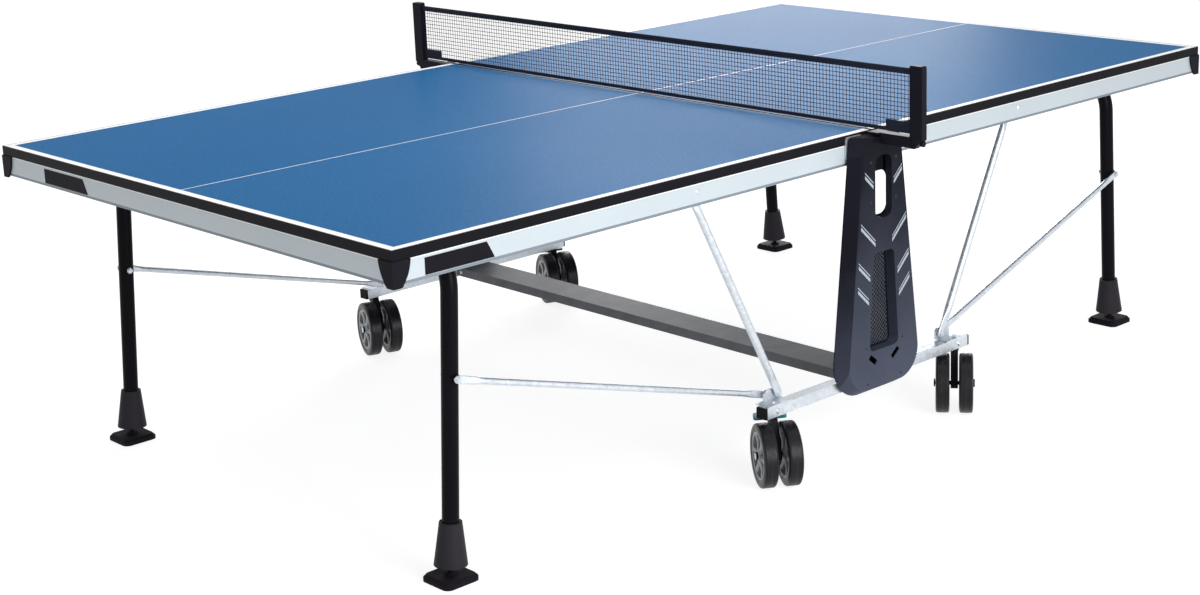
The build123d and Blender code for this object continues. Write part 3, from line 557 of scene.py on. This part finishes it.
tapeLow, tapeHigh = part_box("net_top_tape")
netTape = addPiece("netTape", foldedTape(tapeLook), "net_tape", "centre_frame", ["net_top_tape"])
stitchMesh = grown("netStitches", stitchTree(), {
    "Span": tapeHigh.y - tapeLow.y, "Step": tapeLook["step"], "Stitch": tapeLook["stitch"],
    "Thread": tapeLook["thread"], "Apart": (tapeHigh.x - tapeLow.x) * tapeLook["bulge"] * 0.86,
    "Finish": finishes["net_weave"],
})
stitchMesh.transform(Matrix.Translation((0, 0, tapeLow.z + tapeLook["hem"])))
netStitches = addPiece("netStitches", stitchMesh, "net_weave", "centre_frame")
print("tape stitched")

# ---- diamond mesh at the back of each ball pocket
pocketLook = {
    "dark": (0.020, 0.024, 0.034, 1),
    "pale": (0.090, 0.100, 0.125, 1),
    "pitch": 0.0105,
    "wire": 0.0013,
    "edge": 0.003,
    "corner": 0.0145,  # height of the plate's rounded upper corners
    "samples": 8,
    "stand": 0.2,
}


def wireTree():
    grow = Growth("wires", {"Wire": "Float", "Finish": "Material"})
    section = grow.node("GeometryNodeCurvePrimitiveCircle",
                        sockets={"Resolution": 4, "Radius": grow.size("Wire")})
    lines = grow.node("GeometryNodeMeshToCurve", sockets={0: grow.size("Geometry")})
    return grow.finish(grow.node("GeometryNodeCurveToMesh",
                                 sockets={0: lines, 1: section, "Fill Caps": True}))


def diamondLines(look):  # slanting lines across the back of each pocket, kept inside its outline
    low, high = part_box("ball_meshes")
    bottom, top = low.z + look["edge"], high.z - look["edge"]
    lowHalf = high.x - look["edge"]
    plate = [vertex.co for vertex in parts["ball_meshes"].data.vertices]
    highHalf = max(point.x for point in plate if point.z > high.z - look["corner"]) - look["edge"]
    narrowing = (lowHalf - highHalf) / (top - bottom)
    step = look["pitch"] / look["samples"]
    across = [-lowHalf]
    while across[-1] + step <= lowHalf:
        across.append(across[-1] + step)
    first = -int(lowHalf * 2 / look["pitch"])
    last = math.ceil((top - bottom) / look["pitch"])
    points, edges = [], []
    for side in (-1, 1):
        for slant in (-1, 1):
            for index in range(first, last):
                base = bottom + index * look["pitch"]
                line = [(x, base + x + lowHalf) for x in across]
                run = [(x, z) for x, z in line
                       if bottom <= z <= top and abs(x) <= lowHalf - narrowing * (z - bottom)]
                if len(run) > 2:
                    for x, z in (run[0], run[-1]):
                        points.append((slant * x, side * (high.y + look["wire"] * look["stand"]), z))
                    edges.append((len(points) - 2, len(points) - 1))
    mesh = bpy.data.meshes.new("diamondLines")
    mesh.from_pydata(points, edges, [])
    return mesh


strandFinish = grained("pocketStrands", {**pocketLook, "drift": 30, "grain": 1500, "depth": 0.00004,
                                         "smooth": 0.30, "rough": 0.48, "gloss": 0.3})
strands = grown("pocketStrands", wireTree(), {"Wire": pocketLook["wire"], "Finish": strandFinish},
                diamondLines(pocketLook))
addPiece("pocketStrands", strands, "black_mesh", "centre_frame", finish=strandFinish)
print("pocket meshes strung")

# ---- screws on the towers
screwLook = {"radius": 0.0034, "proud": 0.0012, "socket": 0.0015, "deep": 0.0011, "corners": 18,
             "apart": 0.012}


def screwHead(look):  # a domed head with a socket, facing -Y at the origin
    radius, socket = look["radius"], look["socket"]
    profile = [(-0.001, radius), (0.0002, radius), (look["proud"] * 0.7, radius * 0.86),
               (look["proud"], radius * 0.6), (look["proud"], socket), (look["proud"] - look["deep"], socket),
               (look["proud"] - look["deep"], 0.0002), (-0.001, 0.0002)]
    form = bmesh.new()
    spun(form, profile, Vector((0, 0, 0)), Vector((0, -1, 0)), look["corners"])
    return meshFrom("screwHead", form)


def scatterTree():
    grow = Growth("screws", {"Item": "Object", "Finish": "Material"})
    item = grow.node("GeometryNodeObjectInfo", sockets={"Object": grow.size("Item")}, output="Geometry")
    turn = grow.node("GeometryNodeInputNamedAttribute", {"data_type": "FLOAT"}, {"Name": "turn"})
    points = grow.node("GeometryNodeInstanceOnPoints", sockets={
        "Points": grow.size("Geometry"), "Instance": item, "Rotation": grow.vector(z=turn)})
    return grow.finish(points)


def screwPlaces():
    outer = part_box("near_tower_shell")[0].y
    places = placesOf("tower_screws", screwLook["apart"])
    mesh = bpy.data.meshes.new("screwPlaces")
    mesh.from_pydata([(p.x, math.copysign(outer, p.y), p.z) for p in places], [], [])
    turn = mesh.attributes.new("turn", "FLOAT", "POINT")
    for index, place in enumerate(places):
        turn.data[index].value = 0.0 if place.y < 0 else math.pi
    return mesh


headItem = bpy.data.objects.new("headItem", screwHead(screwLook))
scene.collection.objects.link(headItem)
screwMesh = grown("towerScrews", scatterTree(),
                  {"Item": headItem, "Finish": finishes["dark_screw"]}, screwPlaces())
bpy.data.objects.remove(headItem)
addPiece("towerScrews", screwMesh, "dark_screw", "centre_frame", ["tower_screws"])
print("screws set")

# ---- pale stripes printed on the towers, in pairs of one thin and one broad
stripeLook = {
    "pale": (0.46, 0.52, 0.57, 1),
    "dark": (0.34, 0.39, 0.44, 1),
    "thin": 0.0030,
    "broad": 0.0080,
    "gap": 0.0045,
    "proud": 0.0003,
    "starts": ((0.036, 0.632, 0.029), (0.030, 0.495, 0.050), (0.049, 0.415, 0.040), (0.054, 0.360, 0.038)),
    "rise": 0.95,
}


def towerStripes(look):
    form = bmesh.new()
    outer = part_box("near_tower_shell")[0].y
    for tower in (-1, 1):
        for hand in (-1, 1):
            for x, z, length in look["starts"]:
                lift = 0.0
                for width in (look["broad"], look["thin"]):
                    corners = [(x, z + lift), (x + length, z + lift + length * look["rise"]),
                               (x + length, z + lift + length * look["rise"] + width), (x, z + lift + width)]
                    outline = [Vector((hand * cx, -tower * outer, cz)) for cx, cz in corners]
                    prism(form, outline, Vector((0, tower * look["proud"], 0)))
                    lift += width + look["gap"]
    return meshFrom("towerStripes", form)


stripeFinish = grained("stripePrint", {**stripeLook, "drift": 20, "grain": 1200, "depth": 0.00002,
                                       "smooth": 0.35, "rough": 0.5, "metal": 0.3})
addPiece("towerStripes", towerStripes(stripeLook), "silver_apron", "centre_frame", finish=stripeFinish)

# ---- bare black plates on the apron, beside the near left corner
plateLook = {"tall": 0.034, "thick": 0.0008, "slant": 0.018, "low": 0.007,
             "side": (0.075, 0.245), "end": (0.195, 0.195)}


def apronPlates(look):
    low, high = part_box("left_apron")
    form = bmesh.new()
    base = low.z + look["low"]
    top = base + look["tall"]
    start, end = look["side"]
    side = [(low.x + start, base), (low.x + end, base), (low.x + end - look["slant"], top),
            (low.x + start, top)]
    prism(form, [Vector((x, low.y, z)) for x, z in side], Vector((0, -look["thick"], 0)))
    start, length = look["end"]
    end = [(high.y - start, base), (high.y - start - length, base),
           (high.y - start - length + look["slant"], top), (high.y - start, top)]
    prism(form, [Vector((low.x, y, z)) for y, z in end], Vector((-look["thick"], 0, 0)))
    return meshFrom("apronPlates", form)


addPiece("apronPlates", apronPlates(plateLook), "black_guard", "left_top")
print("stripes and plates laid")

# ---- struts and rods: tubes pressed flat at both ends
linkSizes = {
    "struts": {"radius": 0.009, "half": 0.010, "flat": 0.0025, "head": 0.0065, "headTall": 0.004},
    "rods": {"radius": 0.007, "half": 0.0085, "flat": 0.0025, "head": 0.0065, "headTall": 0.004},
}
linkLook = {"pressed": 0.030, "blend": 0.034, "around": 24, "cap": (-1, -0.8, -0.45, 0)}
rodGap = 0.0075  # middle of a rod's eye outside its leg
nutLook = {"legTube": 0.036, "radius": 0.0062, "tall": 0.006}


def pressedTube(form, start, end, size, look):
    along = (end - start).normalized()
    length = (end - start).length
    thin = (Vector((0, 1, 0)) - along * along.y).normalized()
    wide = along.cross(thin)
    half = size["half"]
    stations = [half * share for share in look["cap"]] + [look["pressed"]]
    stations += [look["pressed"] + look["blend"] * share for share in (0.25, 0.5, 0.75, 1.0)]
    stations += [length - station for station in reversed(stations)]
    loops = []
    for station in stations:
        reach = min(station, length - station)
        share = min(max((reach - look["pressed"]) / look["blend"], 0), 1)
        share = share * share * (3 - 2 * share)
        across = half + (size["radius"] - half) * share
        if reach < 0:
            across = math.sqrt(max(half * half - reach * reach, (half * 0.12) ** 2))
        deep = size["flat"] + (size["radius"] - size["flat"]) * share
        square = 0.45 + 0.55 * share
        loop = []
        for step in range(look["around"]):
            angle = 2 * math.pi * step / look["around"]
            cosine, sine = math.cos(angle), math.sin(angle)
            loop.append(start + along * station
                        + wide * across * math.copysign(abs(cosine) ** square, cosine)
                        + thin * deep * math.copysign(abs(sine) ** square, sine))
        loops.append(loop)
    addLoops(form, loops)


def hexHead(form, centre, outward, radius, tall):  # a hexagon head on a washer
    for corners, first, last, size in ((24, 0, tall * 0.25, radius * 1.15), (6, tall * 0.25, tall, radius)):
        side = outward.orthogonal().normalized()
        front = outward.cross(side)
        angles = [2 * math.pi * step / corners for step in range(corners)]
        rim = [side * math.cos(angle) + front * math.sin(angle) for angle in angles]
        shrink = 0.93 if corners == 6 else 1.0
        addLoops(form, [[centre + outward * first + way * size for way in rim],
                        [centre + outward * (last - tall * 0.12) + way * size for way in rim],
                        [centre + outward * last + way * size * shrink for way in rim]])


def linkEyes(node, half):  # the two eyes of the near link of a pair, low one first
    low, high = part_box(node)
    xs = (low.x + half, high.x - half)
    if high.x < 0:
        xs = (high.x - half, low.x + half)
    return (xs[0], low.z + half), (xs[1], high.z - half)


for hand in ("right", "left"):
    for kind, size in linkSizes.items():
        node = f"{hand}_{kind}"
        lowEye, highEye = linkEyes(node, size["half"])
        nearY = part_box(node)[0].y + size["radius"]
        farY = nearY
        if kind == "rods":
            farY = -(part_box(f"{hand}_leg_frame")[1].y + rodGap)
        form = bmesh.new()
        for side in (1, -1):
            start = Vector((lowEye[0], side * nearY, lowEye[1]))
            end = Vector((highEye[0], side * farY, highEye[1]))
            pressedTube(form, start, end, size, linkLook)
            outward = Vector((0, -side, 0))
            knuckle = start if kind == "struts" else end
            hexHead(form, knuckle + outward * size["flat"], outward, size["head"], size["headTall"])
        addPiece(f"{hand}{kind.capitalize()}", meshFrom(node, form), "zinc_steel",
                 parts[node]["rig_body"], [node])


def legNuts(hand, look):  # the nuts of the rods' bolts, on the inner side of each leg
    eyeX, eyeZ = linkEyes(f"{hand}_rods", linkSizes["rods"]["half"])[1]
    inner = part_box(f"{hand}_leg_frame")[1].y - look["legTube"]
    form = bmesh.new()
    for side in (1, -1):
        place = Vector((eyeX, -side * inner, eyeZ))
        hexHead(form, place, Vector((0, side, 0)), look["radius"], look["tall"])
    return meshFrom("legNuts", form)


for hand in ("right", "left"):
    addPiece(f"{hand}LegNuts", legNuts(hand, nutLook), "zinc_steel", f"{hand}_legs")
print("links pressed")

# ---- wheels: tyres with fine grooves on spoked hubs
wheelLook = {
    "segments": 96,
    "tread": ((-0.0115, 0.0009), (-0.0075, 0.0009), (-0.0035, 0.0007), (0.0035, 0.0007),
              (0.0075, 0.0009), (0.0115, 0.0009)),
    "groove": 0.0006,
    "spokes": 6,
    "boss": 0.013,
    "lip": 0.0055,
    "capReach": 0.0040,
    "cap": ((-0.0004, 0.0005), (-0.0004, 0.0085), (0.0003, 0.0085), (0.0008, 0.0065), (0.0010, 0.0005)),
}


def tyreProfile(radius, rim, half, look):
    drop = radius - rim
    left = [(-half * 0.88, rim), (-half * 0.97, rim + drop * 0.22), (-half, rim + drop * 0.5),
            (-half * 0.97, rim + drop * 0.74), (-half * 0.86, rim + drop * 0.92)]
    tread = []
    for place, depth in look["tread"]:
        for shift, level in ((-1, 0), (-0.5, depth), (0.5, depth), (1, 0)):
            tread.append((place + shift * look["groove"], radius - 0.0003 - level))
        if place == look["tread"][2][0]:
            tread += [(-0.0006, radius - 0.0003), (0, radius), (0.0006, radius - 0.0003)]
    right = [(-along, level) for along, level in reversed(left)]
    return left + tread + right


def hubProfiles(rim, half, look):
    lip = look["lip"]
    ring = [(-half * 0.9, rim), (-half * 0.9, rim - lip * 0.6), (-half * 0.82, rim - lip),
            (half * 0.82, rim - lip), (half * 0.9, rim - lip * 0.6), (half * 0.9, rim)]
    boss = look["boss"]
    core = [(-half * 0.95, 0.0055), (-half * 0.95, boss * 0.8), (-half * 0.85, boss),
            (half * 0.85, boss), (half * 0.95, boss * 0.8), (half * 0.95, 0.0055)]
    web = [(-0.0012, boss * 0.9), (0.0012, boss * 0.9), (0.0012, rim - lip * 0.8), (-0.0012, rim - lip * 0.8)]
    return ring, core, web


def spokeForm(rim, half, look):  # one spoke along +X, the axle along Z
    form = bmesh.new()
    inner, outer = look["boss"] * 0.9, rim - look["lip"] * 0.9
    loops = []
    for share in (0, 0.12, 0.5, 0.88, 1):
        x = inner + (outer - inner) * share
        wide = 0.0075 - 0.0022 * math.sin(math.pi * share) + (0.0018 if share in (0, 1) else 0)
        deep = half * (0.86 - 0.16 * math.sin(math.pi * share))
        loops.append([Vector((x, wide * a, deep * b)) for a, b in (
            (-1, -0.8), (-0.7, -1), (0.7, -1), (1, -0.8), (1, 0.8), (0.7, 1), (-0.7, 1), (-1, 0.8))])
    addLoops(form, loops)
    return meshFrom("spoke", form)


def ringTree():
    grow = Growth("spokeRing", {"Item": "Object", "Count": "Int", "Finish": "Material"})
    item = grow.node("GeometryNodeObjectInfo", sockets={"Object": grow.size("Item")}, output="Geometry")
    row = grow.node("GeometryNodeMeshLine", {"mode": "OFFSET"},
                    {"Count": grow.size("Count"), "Offset": (0, 0, 0)})
    index = grow.node("GeometryNodeInputIndex")
    angle = index * (2 * math.pi) / grow.size("Count")
    return grow.finish(grow.node("GeometryNodeInstanceOnPoints", sockets={
        "Points": row, "Instance": item, "Rotation": grow.vector(z=angle)}))


spokeRing = ringTree()
for corner in ("near_left", "near_right", "far_left", "far_right"):
    low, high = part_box(f"{corner}_tyres")
    middle = (low + high) / 2
    axle = Vector(jointNamed[f"{corner}_wheel_spin"]["axis"]).normalized()
    radius = (high.z - low.z) / 2
    hubLow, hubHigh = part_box(f"{corner}_hubs")
    rim = (hubHigh.z - hubLow.z) / 2
    across = max((vertex.co - middle).dot(axle) for vertex in parts[f"{corner}_tyres"].data.vertices)
    inside = min(abs((vertex.co - middle).dot(axle)) for vertex in parts[f"{corner}_tyres"].data.vertices)
    half = (across - inside) / 2
    centres = [middle + axle * side * (across + inside) / 2 for side in (-1, 1)]
    spokeItem = bpy.data.objects.new("spokeItem", spokeForm(rim, half, wheelLook))
    scene.collection.objects.link(spokeItem)
    spokes = grown("spokes", spokeRing, {"Item": spokeItem, "Count": wheelLook["spokes"],
                                         "Finish": finishes["grey_hub"]})
    bpy.data.objects.remove(spokeItem)
    toAxle = axle.to_track_quat("Z", "Y").to_matrix().to_4x4()
    tyreForm, hubForm = bmesh.new(), bmesh.new()
    for centre in centres:
        spun(tyreForm, tyreProfile(radius, rim, half, wheelLook), centre, axle, wheelLook["segments"])
        for profile in hubProfiles(rim, half, wheelLook):
            spun(hubForm, profile, centre, axle, wheelLook["segments"])
        placed = spokes.copy()
        placed.transform(Matrix.Translation(centre) @ toAxle)
        hubForm.from_mesh(placed)
    capForm = bmesh.new()
    for side in (-1, 1):
        outer = middle + axle * side * (across + wheelLook["capReach"])
        spun(capForm, wheelLook["cap"], outer, axle * side, 32)
    body = parts[f"{corner}_tyres"]["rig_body"]
    word = corner.replace("_l", "L").replace("_r", "R")
    addPiece(f"{word}Tyres", meshFrom("tyres", tyreForm, 25), "tyre", body, [f"{corner}_tyres"])
    addPiece(f"{word}Hubs", meshFrom("hubs", hubForm, 30), "grey_hub", body, [f"{corner}_hubs"])
    addPiece(f"{word}AxleCaps", meshFrom("axleCaps", capForm, 30), "zinc_steel",
             parts[f"{corner}_caster_fork"]["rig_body"])
print("wheels built")


# ---- camera, floor and lamps
studioLook = {
    "lens": 61.83,
    "shift": -0.05,
    "azimuth": 42.25,
    "elevation": 14.58,
    "roll": -2.26,
    "eye": (-3.560, -3.748, 1.728),
    "world": 0.42,
    "floor": (0.80, 0.80, 0.80, 1),
    "glow": 1.62,
    "glowShare": 0.52,
}


def aimCamera(look):
    azimuth, elevation, roll = (math.radians(look[key]) for key in ("azimuth", "elevation", "roll"))
    ahead = Vector((math.sin(azimuth) * math.cos(elevation), math.cos(azimuth) * math.cos(elevation),
                    -math.sin(elevation)))
    level = ahead.cross(Vector((0, 0, 1))).normalized()
    upright = level.cross(ahead)
    right = level * math.cos(roll) + upright * math.sin(roll)
    up = upright * math.cos(roll) - level * math.sin(roll)
    lens = bpy.data.cameras.new("camera")
    lens.lens = look["lens"]
    lens.sensor_width = 36
    lens.shift_y = look["shift"]
    camera = bpy.data.objects.new("camera", lens)
    scene.collection.objects.link(camera)
    camera.matrix_world = Matrix.Translation(look["eye"]) @ Matrix((right, up, -ahead)).transposed().to_4x4()
    scene.camera = camera


def seenWhite(graph):  # 1 for rays from the camera, mirrors and glass
    rays = graph.node("ShaderNodeLightPath", output="Is Camera Ray")
    return rays | rays.other("Is Glossy Ray") | rays.other("Is Transmission Ray")


def layFloor(look):
    form = bmesh.new()
    bmesh.ops.create_grid(form, x_segments=8, y_segments=8, size=30)
    floor = bpy.data.objects.new("studioFloor", meshFrom("studioFloor", form))
    floor.data.transform(Matrix.Translation((0, 0, -0.0005)))
    scene.collection.objects.link(floor)
    paint = Finish("studioFloor")
    matt = paint.node("ShaderNodeBsdfDiffuse", sockets={"Color": look["floor"]})
    glow = paint.node("ShaderNodeEmission", sockets={"Color": (1, 1, 1, 1), "Strength": look["glow"]})
    blend = paint.node("ShaderNodeMixShader",
                       sockets={0: seenWhite(paint) * look["glowShare"], 1: matt, 2: glow})
    paint.node("ShaderNodeOutputMaterial", sockets={"Surface": blend})
    floor.data.materials.append(paint.material)


def lightWorld(look):
    world = bpy.data.worlds.new("studio")
    world.use_nodes = True
    graph = Graph(world.node_tree)
    graph.tree.nodes.clear()
    soft = graph.node("ShaderNodeBackground", sockets={"Color": (1, 1, 1, 1), "Strength": look["world"]})
    white = graph.node("ShaderNodeBackground", sockets={"Color": (1, 1, 1, 1), "Strength": 1.0})
    both = graph.node("ShaderNodeMixShader", sockets={0: seenWhite(graph), 1: soft, 2: white})
    graph.node("ShaderNodeOutputWorld", sockets={"Surface": both})
    scene.world = world


lampRows = (  # place, aim, width, watts
    ((-0.9, -4.0, 1.4), (-0.5, -0.5, 0.6), 2.0, 95),
    ((3.6, 3.0, 1.6), (0.9, 0.4, 0.7), 2.2, 95),
    ((-0.5, 0.2, 3.6), (-0.4, 0.0, 0.7), 2.6, 60),
)


def hangLamps(rows):
    for index, (place, aim, width, watts) in enumerate(rows):
        lamp = bpy.data.lights.new(f"softbox{index}", "AREA")
        lamp.shape = "SQUARE"
        lamp.size = width
        lamp.energy = watts
        holder = bpy.data.objects.new(lamp.name, lamp)
        scene.collection.objects.link(holder)
        holder.location = place
        holder.rotation_euler = (Vector(aim) - Vector(place)).to_track_quat("-Z", "Y").to_euler()


aimCamera(studioLook)
layFloor(studioLook)
lightWorld(studioLook)
hangLamps(lampRows)
scene.view_settings.view_transform = "Standard"
print("studio lit")
